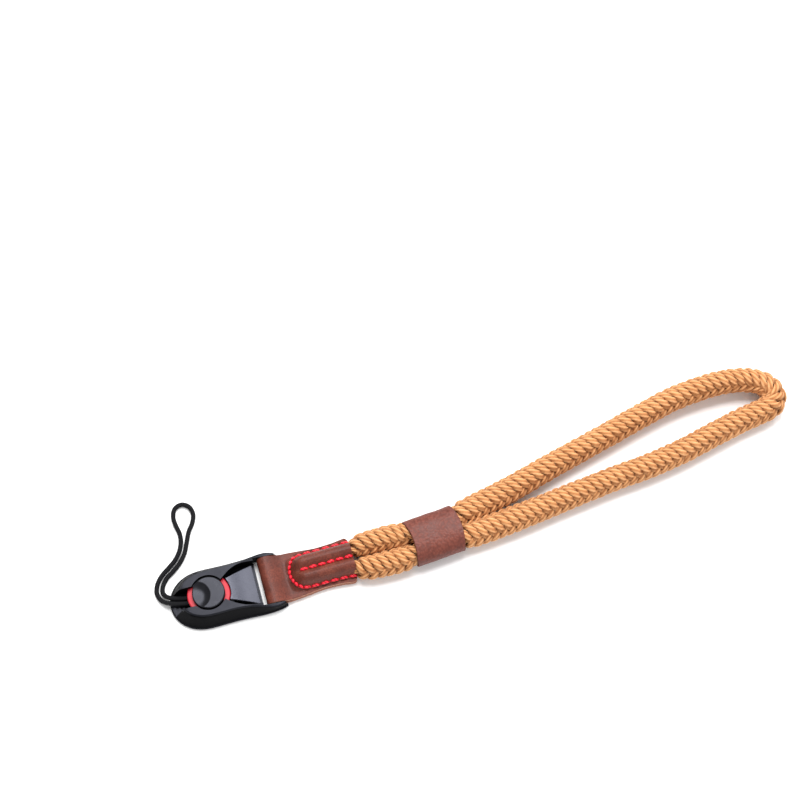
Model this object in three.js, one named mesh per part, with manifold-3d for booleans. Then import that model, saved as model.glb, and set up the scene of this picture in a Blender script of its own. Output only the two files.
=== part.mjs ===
// Braided rope wrist strap: a rope loop, a leather keeper and tab, and a quick-release housing
// with a cord anchor. Millimetres, +Z up. The strap lies flat on the surface z = 0, as it rests by itself.
// Origin: on the housing's flat underside, straight below the centre of the anchor's seat.
// +X runs along the housing from its cord end towards the rope loop.

import * as THREE from "three";
import { mergeVertices } from "three/addons/utils/BufferGeometryUtils.js";
import Module from "manifold-3d";

const wasm = await Module();
wasm.setup();

// Driving dimensions

const clearance = 0.3; // between pieces that touch on the real strap
const reach = 30; // how far a cutting tool runs past what it cuts
const overlap = 1; // how far a shape runs into the cut that trims it

const ropeThick = 11.4;
const ropeSides = 12;
const ropeSteps = 150;
const squeezeInTab = 0.456; // the rope's thickness where it is squeezed, as shares of its free thickness
const squeezeInNeck = 0.91;
const squeezeInKeeper = 0.735;
const restGap = 0.05; // the rope's own gap to the surface
const ropeEndShare = 0.416; // where the rope's ends lie in the tab, as a share of its length
const tabGrip = 2.5; // how far outside the tab the rope is still squeezed
const tabSwell = 7.5; // from the tab's open end to where the rope has swollen
const keeperGrip = 3.6; // how far outside the keeper the rope is still squeezed
const keeperSwell = 9; // from the keeper to where the rope has swollen again
const neckDip = 0.5; // how far the pair of strands dips sideways between tab and keeper

const leatherThick = 1.6;
const tabHalfWidth = 10.4;
const tabLength = 36.8; // from the pin to the tab's open end
const tabSway = 0.5; // how far the tab's middle line drifts sideways by its open end
const tabCorner = 1.4; // how far the rounded corners fall short of the end
const bulgeHeight = 6.2; // of the leather over the rope ends
const seamHalfWidth = 7.65; // from the tab's middle to each leg of its outer seam

const pinRadius = 1.4;
const pinX = 26.2;
const pinHole = pinRadius + clearance;
const foldRadius = pinHole + leatherThick;
const pinZ = foldRadius;

const housingCordEnd = 17; // from the origin to the rounded end
const housingStrapEnd = 31.6; // from the origin to the tips of the arms
const housingHalfWidth = 13.1;
const housingHeight = 9.5;
const floorThick = 1.8;
const footLip = 1.3; // height of the thin lip round the foot
const rimLip = 2.2; // thickness of the rim over the anchor's track
const crossEdge = 21.4; // where the floor ends, in front of the leather's fold
const armCover = 0.9; // wall left outside the pin's blind holes
const slotHalfWidth = 4.4;
const trackMargin = 0.4; // between the flange and the track's walls
const mouthNarrow = 4.2; // half the opening's width where it leaves the seat
const mouthStart = 6;
const mouthEnd = 17;
const ribCount = 3;
const ribPitch = 1.8;
const ribWidth = 0.7;
const ribHeight = 0.7;
const firstRib = -15.2;

const capRadius = 7;
const capHeight = 2.4;
const capEdge = 0.5;
const seatGap = 0.7; // the dark ring between the cap and its seat
const scoopRadius = 5.2;
const scoopOffset = -4.6;
const scoopTilt = THREE.MathUtils.degToRad(9);
const flangeRadius = 9.2;
const flangeThick = 1.4;
const bossRadius = 2.6;

const rampStrapEnd = 20.3;
const rampThick = 1.4;
const rampHigh = 8.2;
const rampLow = 3.9;
const rampNarrow = 4.4;
const rampWide = 9.1;
const rampFoot = 2.1;
const rampSwell = 0.9; // how far the middle of its top bows up
const rampHollow = 0.6; // how far the middle of its underside bows up

const cordThick = 2;
const cordSides = 8;
const cordSteps = 60;

const keeperStart = 88;
const keeperLength = 21.6;
const keeperWall = 1.5;
const keeperTurn = THREE.MathUtils.degToRad(5.4);
const keeperMiddle = -0.45; // sideways place of the sleeve's middle at its start

const loopLength = 150.8; // from the keeper's end to the middle of the rope at the loop's tip
const loopSway = 26; // how far the loop's middle line drifts sideways
const loopClear = 11.6; // widest clear space between the strands
const loopLift = 1.7; // how far the upper strand lifts off the surface near the tip

// How finely round shapes are faceted

const housingSteps = 2; // from one station of the housing to the next
const seatSides = 48;
const flangeRoomSides = 64;
const flangeSides = 40;
const capSides = 36;
const scoopSides = 28;
const pinHoleSides = 24;
const pinSides = 16;
const curveSides = 8;
const sleeveSides = 10; // round each end of the keeper's section

// Places that follow from the sizes

const tabEnd = pinX + tabLength;
const ropeStart = pinX + ropeEndShare * tabLength;
const overLeather = leatherThick + clearance;
const overKeeper = keeperWall + clearance;
const keeperEnd = keeperStart + keeperLength * Math.cos(keeperTurn);
const lipUnder = housingHeight - rimLip;
const flangeTop = lipUnder - clearance;
const flangeBottom = flangeTop - flangeThick;
const seatRadius = capRadius + seatGap;
const trackHalfWidth = flangeRadius + trackMargin;
const bayHalfWidth = tabHalfWidth + clearance;

// Booleans and other helpers

function solidOf(geometry) {
  const bare = geometry.index ? geometry.toNonIndexed() : geometry.clone();
  bare.deleteAttribute("normal");
  bare.deleteAttribute("uv");
  const merged = mergeVertices(bare, 1e-4);
  return new wasm.Manifold(
    new wasm.Mesh({
      numProp: 3,
      vertProperties: merged.attributes.position.array,
      triVerts: new Uint32Array(merged.index.array),
    }),
  );
}

function geometryOf(solid) {
  const mesh = solid.getMesh();
  const geometry = new THREE.BufferGeometry();
  geometry.setAttribute("position", new THREE.BufferAttribute(mesh.vertProperties, 3));
  geometry.setIndex(new THREE.BufferAttribute(mesh.triVerts, 1));
  const flat = geometry.toNonIndexed();
  flat.computeVertexNormals();
  return flat;
}

function named(name, geometry, material) {
  const mesh = new THREE.Mesh(geometry, material);
  mesh.name = name;
  return mesh;
}

function boxBetween(low, high) {
  const size = new THREE.Vector3().subVectors(high, low);
  const middle = new THREE.Vector3().addVectors(low, high).multiplyScalar(0.5);
  return new THREE.BoxGeometry(size.x, size.y, size.z).translate(middle.x, middle.y, middle.z);
}

// An upright cylinder from one height to another, round the origin's vertical.
function upright(radius, low, high, sides) {
  const geometry = new THREE.CylinderGeometry(radius, radius, high - low, sides);
  return geometry.rotateX(Math.PI / 2).translate(0, 0, (low + high) / 2);
}

// A value read off a table of rows, in straight lines between them.
function readOff(rows, key, value, at) {
  if (at <= rows[0][key]) return rows[0][value];
  for (let i = 1; i < rows.length; i++) {
    if (at <= rows[i][key]) {
      const share = (at - rows[i - 1][key]) / (rows[i][key] - rows[i - 1][key]);
      return THREE.MathUtils.lerp(rows[i - 1][value], rows[i][value], share);
    }
  }
  return rows[rows.length - 1][value];
}

// One closed surface from triangles given by corner points.
function surfaceOf(triangles) {
  const geometry = new THREE.BufferGeometry().setFromPoints(triangles.flat());
  geometry.computeVertexNormals();
  return geometry;
}

// The two triangles of a quad whose corners run anticlockwise seen from outside.
function quad(a, b, c, d) {
  return [
    [a, b, c],
    [a, c, d],
  ];
}

// Quick-release housing

// Plan and side outline, from the rounded end to the tips of the arms. Shares of the cord end's or
// strap end's reach along X, of the half width across, and of the height.
const housingStations = [
  { footX: -1, footY: 0, rimX: -0.776, rimY: 0, top: 0.95 },
  { footX: -0.976, footY: 0.245, rimX: -0.753, rimY: 0.2, top: 0.96 },
  { footX: -0.9, footY: 0.474, rimX: -0.682, rimY: 0.382, top: 0.98 },
  { footX: -0.776, footY: 0.672, rimX: -0.576, rimY: 0.543, top: 1 },
  { footX: -0.6, footY: 0.84, rimX: -0.424, rimY: 0.672, top: 1 },
  { footX: -0.388, footY: 0.947, rimX: -0.247, rimY: 0.75, top: 1 },
  { footX: -0.141, footY: 0.992, rimX: -0.035, rimY: 0.78, top: 1 },
  { footX: 0.127, footY: 0.985, rimX: 0.142, rimY: 0.78, top: 1 },
  { footX: 0.316, footY: 0.977, rimX: 0.316, rimY: 0.776, top: 1 },
  { footX: 0.475, footY: 0.985, rimX: 0.475, rimY: 0.8, top: 0.945 },
  { footX: 0.6, footY: 1, rimX: 0.6, rimY: 0.845, top: 0.84 },
  { footX: 0.728, footY: 1, rimX: 0.728, rimY: 0.916, top: 0.705 },
  { footX: 0.854, footY: 0.98, rimX: 0.842, rimY: 0.945, top: 0.62 },
  { footX: 0.95, footY: 0.935, rimX: 0.924, rimY: 0.91, top: 0.58 },
  { footX: 1, footY: 0.892, rimX: 0.968, rimY: 0.875, top: 0.56 },
];

// Levels of the wall, from the underside to the rim: shares of the foot lip and of the wall over it,
// how far the outline has gone from foot to rim, and how far it is set in.
const housingLevels = [
  { lip: 0, wall: 0, toRim: 0, inset: 0.7 },
  { lip: 0.5, wall: 0, toRim: 0, inset: 0 },
  { lip: 1, wall: 0, toRim: 0, inset: 0 },
  { lip: 1, wall: 0.02, toRim: 0, inset: 0.45 },
  { lip: 1, wall: 0.82, toRim: 0.88, inset: 0 },
  { lip: 1, wall: 0.94, toRim: 1, inset: 0.1 },
  { lip: 1, wall: 1, toRim: 1, inset: 0.7 },
];

function alongHousing(share) {
  return share * (share < 0 ? housingCordEnd : housingStrapEnd);
}

function mirrored(point) {
  return new THREE.Vector3(point.x, -point.y, point.z);
}

// A smooth line through half an outline that starts on the middle plane and is mirrored beyond it.
function smoothHalf(points, steps) {
  const curve = new THREE.CatmullRomCurve3([mirrored(points[1]), ...points], false, "centripetal");
  const pieces = steps * points.length;
  const smooth = [points[0]];
  for (let i = steps + 1; i <= pieces; i++) smooth.push(curve.getPoint(i / pieces));
  return smooth;
}

// Half of one level's outline, from the rounded end to the arms' tips.
function housingHalfOutline(level) {
  const plain = housingStations.map((s) => {
    const x = THREE.MathUtils.lerp(alongHousing(s.footX), alongHousing(s.rimX), level.toRim);
    const y = THREE.MathUtils.lerp(s.footY, s.rimY, level.toRim) * housingHalfWidth;
    const z = level.lip * footLip + level.wall * (s.top * housingHeight - footLip);
    return new THREE.Vector3(x, y, z);
  });
  const smooth = smoothHalf(plain, housingSteps);
  return smooth.map((p, i) => {
    const before = smooth[Math.max(i - 1, 0)];
    const after = smooth[Math.min(i + 1, smooth.length - 1)];
    const inward = new THREE.Vector3(after.y - before.y, before.x - after.x, 0);
    if (i === 0) inward.set(1, 0, 0);
    inward.setLength(level.inset);
    return new THREE.Vector3(p.x + inward.x, Math.max(p.y + inward.y, 0), p.z);
  });
}

function housingBlank() {
  const levels = housingLevels.map(housingHalfOutline);
  const triangles = [];
  const last = levels[0].length - 1;
  for (let k = 0; k + 1 < levels.length; k++) {
    const low = levels[k];
    const high = levels[k + 1];
    for (let i = 0; i < last; i++) {
      triangles.push(...quad(low[i + 1], low[i], high[i], high[i + 1]));
      triangles.push(...quad(low[i], low[i + 1], high[i + 1], high[i]).map((t) => t.map(mirrored)));
    }
    triangles.push(...quad(mirrored(low[last]), low[last], high[last], mirrored(high[last])));
  }
  const bottom = levels[0];
  const top = levels[levels.length - 1];
  for (let i = 0; i < last; i++) {
    triangles.push(...quad(bottom[i], bottom[i + 1], mirrored(bottom[i + 1]), mirrored(bottom[i])));
    triangles.push(...quad(top[i + 1], top[i], mirrored(top[i]), mirrored(top[i + 1])));
  }
  const real = triangles.filter(([a, b, c]) => !(a.equals(b) || b.equals(c) || c.equals(a)));
  return surfaceOf(real);
}

// How the rim's opening flares: shares of its length and of its half width at the strap's end.
const mouthFlare = [
  { along: 0.318, half: 0.73 },
  { along: 0.591, half: 0.97 },
];

// The opening in the rim that flares from the seat towards the strap.
function housingMouth() {
  const wide = trackHalfWidth;
  const [near, far] = mouthFlare.map((f) => ({
    x: THREE.MathUtils.lerp(mouthStart, mouthEnd, f.along),
    y: f.half * wide,
  }));
  const shape = new THREE.Shape();
  shape.moveTo(0, -mouthNarrow);
  shape.lineTo(mouthStart, -mouthNarrow);
  shape.bezierCurveTo(near.x, -near.y, far.x, -far.y, mouthEnd, -wide);
  shape.lineTo(crossEdge + overlap, -wide);
  shape.lineTo(crossEdge + overlap, wide);
  shape.lineTo(mouthEnd, wide);
  shape.bezierCurveTo(far.x, far.y, near.x, near.y, mouthStart, mouthNarrow);
  shape.lineTo(0, mouthNarrow);
  const settings = { depth: housingHeight, bevelEnabled: false, curveSegments: curveSides };
  return new THREE.ExtrudeGeometry(shape, settings).translate(0, 0, lipUnder - clearance);
}

function housingRibs() {
  const half = slotHalfWidth + clearance;
  const ribs = [];
  for (let i = 0; i < ribCount; i++) {
    const x = firstRib + i * ribPitch;
    const low = new THREE.Vector3(x - ribWidth / 2, -half, floorThick - clearance);
    const high = new THREE.Vector3(x + ribWidth / 2, half, floorThick + ribHeight);
    ribs.push(boxBetween(low, high));
  }
  return ribs;
}

function pinAxisCylinder(radius, halfLength, sides) {
  return new THREE.CylinderGeometry(radius, radius, 2 * halfLength, sides).translate(pinX, 0, pinZ);
}

function pinHalfLength() {
  const armY = readOff(
    housingStations.map((s) => ({ x: alongHousing(s.footX), y: s.footY * housingHalfWidth })),
    "x",
    "y",
    pinX,
  );
  return armY - armCover - clearance;
}

function quickReleaseHousing(material) {
  const seat = upright(seatRadius, lipUnder - clearance, housingHeight + clearance, seatSides);
  const pocket = upright(trackHalfWidth, floorThick, lipUnder, seatSides);
  const track = boxBetween(
    new THREE.Vector3(0, -trackHalfWidth, floorThick),
    new THREE.Vector3(crossEdge + overlap, trackHalfWidth, lipUnder),
  );
  const slot = boxBetween(
    new THREE.Vector3(-reach, -slotHalfWidth, floorThick),
    new THREE.Vector3(-seatRadius / 2, slotHalfWidth, reach),
  );
  const bay = boxBetween(
    new THREE.Vector3(crossEdge, -bayHalfWidth, -reach),
    new THREE.Vector3(crossEdge + reach, bayHalfWidth, reach),
  );
  const pinBores = pinAxisCylinder(pinHole, pinHalfLength() + clearance, pinHoleSides);
  let body = solidOf(housingBlank());
  for (const tool of [seat, pocket, track, housingMouth(), slot, bay, pinBores]) {
    body = body.subtract(solidOf(tool));
  }
  for (const rib of housingRibs()) {
    body = body.add(solidOf(rib));
  }
  return named("quick_release_housing", geometryOf(body), material);
}

// Locking ramp: a sprung plate, high beside the flange and low at the strap, standing on its own foot.
function lockingRamp(material) {
  const inner = flangeRadius + clearance;
  const start = Math.sqrt(inner * inner - rampNarrow * rampNarrow) - overlap;
  const middle = (inner + rampStrapEnd) / 2;
  const halfway = (rampHigh + rampLow) / 2;
  const side = new THREE.Shape();
  side.moveTo(start, rampHigh);
  side.quadraticCurveTo(middle, halfway + rampSwell, rampStrapEnd, rampLow);
  side.lineTo(rampStrapEnd, floorThick + clearance);
  side.lineTo(rampStrapEnd - rampFoot, floorThick + clearance);
  side.lineTo(rampStrapEnd - rampFoot, rampLow - rampThick / 2);
  side.quadraticCurveTo(middle, halfway + rampHollow - rampThick, start, rampHigh - rampThick);
  const settings = { depth: 2 * rampWide, bevelEnabled: false, curveSegments: curveSides };
  const plate = new THREE.ExtrudeGeometry(side, settings);
  plate.rotateX(Math.PI / 2).translate(0, rampWide, 0);
  const plan = new THREE.Shape([
    new THREE.Vector2(start, -rampNarrow),
    new THREE.Vector2(rampStrapEnd + overlap, -rampWide),
    new THREE.Vector2(rampStrapEnd + overlap, rampWide),
    new THREE.Vector2(start, rampNarrow),
  ]);
  const planSolid = new THREE.ExtrudeGeometry(plan, { depth: reach, bevelEnabled: false });
  const flangeRoom = upright(inner, 0, reach, flangeRoomSides);
  const ramp = solidOf(plate).intersect(solidOf(planSolid)).subtract(solidOf(flangeRoom));
  return named("locking_ramp", geometryOf(ramp), material);
}

// Strap pin, in blind holes in the arms.
function strapPin(material) {
  return named("strap_pin", pinAxisCylinder(pinRadius, pinHalfLength(), pinSides), material);
}

// Cord anchor: a cap with a thumb scoop over a wider flange.
function anchorCap(material) {
  const low = flangeTop + clearance;
  const high = low + capHeight;
  const profile = [
    new THREE.Vector2(0, low),
    new THREE.Vector2(capRadius, low),
    new THREE.Vector2(capRadius, high - capEdge),
    new THREE.Vector2(capRadius - 0.3 * capEdge, high - 0.3 * capEdge),
    new THREE.Vector2(capRadius - capEdge, high),
    new THREE.Vector2(0, high),
  ];
  const blank = new THREE.LatheGeometry(profile, capSides).rotateX(Math.PI / 2);
  const scoop = new THREE.CylinderGeometry(scoopRadius, scoopRadius, capHeight, scoopSides);
  scoop.rotateX(Math.PI / 2).translate(0, 0, capHeight / 2);
  scoop.rotateY(scoopTilt).translate(scoopOffset, 0, high - scoopRadius * Math.sin(scoopTilt));
  return named("anchor_cap", geometryOf(solidOf(blank).subtract(solidOf(scoop))), material);
}

function anchorFlange(material) {
  const edge = flangeThick / 4;
  const profile = [
    new THREE.Vector2(0, floorThick + clearance),
    new THREE.Vector2(bossRadius, floorThick + clearance),
    new THREE.Vector2(bossRadius, flangeBottom),
    new THREE.Vector2(flangeRadius - edge, flangeBottom),
    new THREE.Vector2(flangeRadius, flangeBottom + edge),
    new THREE.Vector2(flangeRadius, flangeTop - edge),
    new THREE.Vector2(flangeRadius - edge, flangeTop),
    new THREE.Vector2(0, flangeTop),
  ];
  const disc = new THREE.LatheGeometry(profile, flangeSides).rotateX(Math.PI / 2);
  return named("anchor_flange", disc, material);
}

// Anchor cord: out of the boss, through the slot, round its bight on the surface, and back.
const anchorCordRoute = [
  [-2.95, 1.2, 4.2],
  [-7.9, 1.4, 4.1],
  [-12.6, 2.3, 3.9],
  [-15.9, 3.5, 3.5],
  [-17.95, 5.4, 2],
  [-18.8, 7.9, 1.15],
  [-17.9, 10.7, 1.05],
  [-15.7, 13.4, 1.05],
  [-12.4, 15.7, 1.05],
  [-8.95, 18.6, 1.05],
  [-5.95, 22.4, 1.05],
  [-4, 26.8, 1.05],
  [-2, 31.4, 1.05],
  [0.4, 35, 1.05],
  [1.6, 38.8, 1.05],
  [0.6, 42.4, 1.05],
  [-2.4, 44.2, 1.05],
  [-5.6, 43, 1.05],
  [-7, 39.6, 1.05],
  [-6.8, 35.6, 1.05],
  [-6, 31.6, 1.05],
  [-6.4, 27.5, 1.05],
  [-8.1, 23.5, 1.05],
  [-10.7, 20.2, 1.05],
  [-14, 17.6, 1.05],
  [-17.5, 15, 1.05],
  [-20.2, 11.7, 1.05],
  [-21.3, 7.9, 1.05],
  [-20.2, 4.3, 1.35],
  [-17.2, 1.6, 3.2],
  [-13.4, 0.1, 3.85],
  [-8.1, -1, 4.1],
  [-2.95, -1.2, 4.2],
];

function regularPolygon(radius, sides) {
  const corners = [];
  for (let i = 0; i < sides; i++) {
    const angle = (i / sides) * 2 * Math.PI;
    corners.push(new THREE.Vector2(radius * Math.cos(angle), radius * Math.sin(angle)));
  }
  return new THREE.Shape(corners);
}

function tubeAlong(points, thick, sides, steps) {
  const extrudePath = new THREE.CatmullRomCurve3(points, false, "centripetal");
  const geometry = new THREE.ExtrudeGeometry(regularPolygon(thick / 2, sides), { steps, extrudePath });
  return { geometry, centres: extrudePath.getSpacedPoints(steps) };
}

function anchorCord(material) {
  const points = anchorCordRoute.map((p) => new THREE.Vector3(...p));
  return named("anchor_cord", tubeAlong(points, cordThick, cordSides, cordSteps).geometry, material);
}

// Leather tab: one strip, from the lower layer's open end, round the pin, and back over the rope ends.

// Half width of the strip, as shares of the tab's length and half width.
const tabWidths = [
  { along: 0, half: 1 },
  { along: 0.24, half: 0.985 },
  { along: 0.43, half: 0.93 },
  { along: 0.65, half: 0.865 },
  { along: 0.84, half: 0.89 },
  { along: 1, half: 0.95 },
];

// Height of the upper layer over the two rope ends, across half the tab: shares of the distance to
// the seam and of the bulge. The dip in the middle is the centre seam.
const tabBulge = [
  { out: 0, high: 0.8 },
  { out: 0.18, high: 0.89 },
  { out: 0.4, high: 1 },
  { out: 0.58, high: 0.97 },
  { out: 0.72, high: 0.86 },
  { out: 0.84, high: 0.64 },
  { out: 0.93, high: 0.34 },
  { out: 1, high: 0.12 },
  { out: 1.08, high: 0 },
];

const tabColumns = [0, 0.17, 0.33, 0.46, 0.58, 0.67, 0.74, 0.8, 0.86, 0.93, 1];
const lowerLayerRows = [1, 0.84, 0.65, 0.43, 0.24, 0.1];
const upperLayerRows = [0.06, 0.11, 0.16, 0.21, 0.25, 0.29, 0.33, 0.37, 0.41, 0.5, 0.63, 0.76, 0.89, 1];
const foldSteps = 9;
const cornerPower = 8; // how tightly the end's corners are rounded
const fallEnd = 0.225; // where the upper layer is down from the fold, as a share of the tab's length
const bulgeStart = 0.22;
const bulgeFull = 0.4;

// A point on the strip's outer surface: how far along either layer, from the fold to the open end,
// how far round the fold, and how far across.
function tabOuterPoint(along, turn, across) {
  const corner = tabCorner * Math.abs(across) ** cornerPower;
  const half = readOff(tabWidths, "along", "half", along) * tabHalfWidth;
  const sway = tabSway * THREE.MathUtils.smoothstep(along, 0, 1);
  const y = sway + across * half;
  if (turn > 0 && turn < 1) {
    const angle = -Math.PI / 2 - turn * Math.PI;
    return new THREE.Vector3(
      pinX + foldRadius * Math.cos(angle),
      y,
      pinZ + foldRadius * Math.sin(angle),
    );
  }
  const x = pinX + along * (tabLength - corner);
  if (turn === 0) return new THREE.Vector3(x, y, 0);
  const flat = 2 * leatherThick + clearance;
  const fall = THREE.MathUtils.smoothstep(along, 0, fallEnd);
  const over = THREE.MathUtils.smoothstep(along, bulgeStart, bulgeFull);
  const shape = readOff(tabBulge, "out", "high", (Math.abs(across) * half) / seamHalfWidth);
  const layers = THREE.MathUtils.lerp(2 * foldRadius, flat, fall);
  return new THREE.Vector3(x, y, layers + over * shape * bulgeHeight);
}

// Rows of the strip, in order: how far along and how far round the fold.
function tabRows() {
  const rows = lowerLayerRows.map((along) => ({ along, turn: 0 }));
  rows.push({ along: 0, turn: 0 });
  for (let i = 1; i < foldSteps; i++) rows.push({ along: 0, turn: i / foldSteps });
  rows.push({ along: 0, turn: 1 });
  rows.push(...upperLayerRows.map((along) => ({ along, turn: 1 })));
  return rows;
}

function leatherTab(material) {
  const across = [...tabColumns.slice(1).reverse(), ...tabColumns.map((c) => -c)];
  const outer = tabRows().map((r) => across.map((c) => tabOuterPoint(r.along, r.turn, c)));
  const rows = outer.length;
  const columns = across.length;
  const inner = outer.map((row, i) =>
    row.map((p, j) => {
      const along = new THREE.Vector3().subVectors(
        outer[Math.min(i + 1, rows - 1)][j],
        outer[Math.max(i - 1, 0)][j],
      );
      const sideways = new THREE.Vector3().subVectors(
        row[Math.min(j + 1, columns - 1)],
        row[Math.max(j - 1, 0)],
      );
      const inward = new THREE.Vector3().crossVectors(sideways, along).setLength(-leatherThick);
      return new THREE.Vector3().addVectors(p, inward);
    }),
  );
  const triangles = [];
  for (let i = 0; i + 1 < rows; i++) {
    for (let j = 0; j + 1 < columns; j++) {
      triangles.push(...quad(outer[i][j], outer[i][j + 1], outer[i + 1][j + 1], outer[i + 1][j]));
      triangles.push(...quad(inner[i][j + 1], inner[i][j], inner[i + 1][j], inner[i + 1][j + 1]));
    }
    const far = columns - 1;
    triangles.push(...quad(inner[i][0], outer[i][0], outer[i + 1][0], inner[i + 1][0]));
    triangles.push(...quad(outer[i][far], inner[i][far], inner[i + 1][far], outer[i + 1][far]));
  }
  const end = rows - 1;
  for (let j = 0; j + 1 < columns; j++) {
    triangles.push(...quad(inner[0][j], inner[0][j + 1], outer[0][j + 1], outer[0][j]));
    triangles.push(...quad(outer[end][j], outer[end][j + 1], inner[end][j + 1], inner[end][j]));
  }
  return named("leather_tab", surfaceOf(triangles), material);
}

// Keeper: a leather sleeve round both squeezed strands.
function stadium(width, height, segments) {
  const radius = height / 2;
  const half = width / 2 - radius;
  const shape = new THREE.Shape();
  for (let i = 0; i <= segments; i++) {
    const angle = -Math.PI / 2 + (i / segments) * Math.PI;
    const point = [half + radius * Math.cos(angle), radius * Math.sin(angle)];
    if (i === 0) shape.moveTo(...point);
    else shape.lineTo(...point);
  }
  for (let i = 0; i <= segments; i++) {
    const angle = Math.PI / 2 + (i / segments) * Math.PI;
    shape.lineTo(-half + radius * Math.cos(angle), radius * Math.sin(angle));
  }
  return shape;
}

function keeperSleeve(material) {
  const strand = squeezeInKeeper * ropeThick;
  const innerWidth = 2 * strand + 3 * clearance;
  const innerHeight = strand + 2 * clearance;
  const outerHeight = innerHeight + 2 * keeperWall;
  const shape = stadium(innerWidth + 2 * keeperWall, outerHeight, sleeveSides);
  shape.holes.push(stadium(innerWidth, innerHeight, sleeveSides));
  const geometry = new THREE.ExtrudeGeometry(shape, { depth: keeperLength, bevelEnabled: false });
  const acrossUpAlong = new THREE.Matrix4().makeBasis(
    new THREE.Vector3(0, 1, 0),
    new THREE.Vector3(0, 0, 1),
    new THREE.Vector3(1, 0, 0),
  );
  geometry.applyMatrix4(acrossUpAlong);
  const mesh = named("keeper_sleeve", geometry, material);
  mesh.position.set(keeperStart, keeperMiddle, outerHeight / 2);
  mesh.rotation.z = keeperTurn;
  return mesh;
}

// Wrist rope

// The sleeve's own middle line, sideways at each place along X.
function keeperLine(x) {
  return keeperMiddle + (x - keeperStart) * Math.tan(keeperTurn);
}

// Stations where the two strands lie side by side: place along X, the pair's middle line, the share
// of the free thickness that the squeeze leaves, and what lies under the rope.
const keeperFrom = keeperStart - keeperGrip;
const keeperHalf = (keeperStart + keeperEnd) / 2;
const keeperTo = keeperEnd + keeperGrip;
const boundStations = [
  { x: ropeStart, middle: 0.6 * tabSway, squeeze: squeezeInTab, under: overLeather },
  { x: (ropeStart + tabEnd) / 2, middle: 0.8 * tabSway, squeeze: squeezeInTab, under: overLeather },
  { x: tabEnd + tabGrip, middle: 0.4 * tabSway, squeeze: squeezeInTab, under: overLeather },
  { x: tabEnd + tabSwell, middle: -0.6 * neckDip, squeeze: squeezeInNeck, under: restGap },
  { x: (tabEnd + tabSwell + keeperFrom) / 2, middle: -neckDip, squeeze: squeezeInNeck, under: restGap },
  { x: keeperFrom, middle: keeperLine(keeperFrom), squeeze: squeezeInKeeper, under: overKeeper },
  { x: keeperHalf, middle: keeperLine(keeperHalf), squeeze: squeezeInKeeper, under: overKeeper },
  { x: keeperTo, middle: keeperLine(keeperTo), squeeze: squeezeInKeeper, under: overKeeper },
  { x: keeperEnd + keeperSwell, middle: 0.12 * loopSway, squeeze: squeezeInNeck, under: restGap },
];

// The open loop, from the keeper to the tip: shares of the loop's length, of its sway, of the rope's
// thickness and of the clear space on each side of the middle line, and of the upper strand's lift.
const loopStations = [
  { along: 0.161, middle: 0.213, thick: 0.52, clear: 0.06, lift: 0 },
  { along: 0.32, middle: 0.412, thick: 0.52, clear: 0.19, lift: 0.03 },
  { along: 0.466, middle: 0.583, thick: 0.52, clear: 0.31, lift: 0.15 },
  { along: 0.598, middle: 0.729, thick: 0.52, clear: 0.45, lift: 0.4 },
  { along: 0.704, middle: 0.862, thick: 0.52, clear: 0.49, lift: 0.75 },
  { along: 0.804, middle: 0.968, thick: 0.52, clear: 0.4, lift: 1 },
  { along: 0.883, middle: 1.02, thick: 0.52, clear: 0.28, lift: 1 },
  { along: 0.943, middle: 1.015, thick: 0.52, clear: 0.13, lift: 0.8 },
  { along: 0.986, middle: 0.975, thick: 0.4, clear: 0, lift: 0.4 },
  { along: 1, middle: 0.965, thick: 0, clear: 0, lift: 0.15 },
];

function boundPoint(station, side) {
  const thick = station.squeeze * ropeThick;
  const y = station.middle + (side * (thick + clearance)) / 2;
  return new THREE.Vector3(station.x, y, station.under + thick / 2);
}

function loopPoint(station, side) {
  const half = station.thick * ropeThick + station.clear * loopClear;
  const lift = side > 0 ? station.lift * loopLift : 0;
  return new THREE.Vector3(
    keeperEnd + station.along * loopLength,
    station.middle * loopSway + side * half,
    ropeThick / 2 + restGap + lift,
  );
}

function ropeRoute() {
  const tip = loopStations.length - 1;
  return [
    ...boundStations.map((s) => boundPoint(s, 1)),
    ...loopStations.slice(0, tip).map((s) => loopPoint(s, 1)),
    loopPoint(loopStations[tip], 1),
    ...loopStations.slice(0, tip).reverse().map((s) => loopPoint(s, -1)),
    ...boundStations.slice().reverse().map((s) => boundPoint(s, -1)),
  ];
}

// Moves a tube's corners towards its centre line by the share that each place is squeezed to.
function squeezeTube(tube) {
  const freeFrom = keeperEnd + loopStations[0].along * loopLength;
  const table = [...boundStations, { x: freeFrom, squeeze: 1 }];
  const position = tube.geometry.attributes.position;
  const corner = new THREE.Vector3();
  for (let i = 0; i < position.count; i++) {
    corner.fromBufferAttribute(position, i);
    const centre = tube.centres.reduce((best, c) =>
      c.distanceToSquared(corner) < best.distanceToSquared(corner) ? c : best,
    );
    corner.lerp(centre, 1 - readOff(table, "x", "squeeze", centre.x));
    position.setXYZ(i, corner.x, corner.y, corner.z);
  }
  tube.geometry.computeVertexNormals();
  return tube.geometry;
}

function wristRope(material) {
  const tube = tubeAlong(ropeRoute(), ropeThick, ropeSides, ropeSteps);
  return named("wrist_rope", squeezeTube(tube), material);
}

// Assembly

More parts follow.
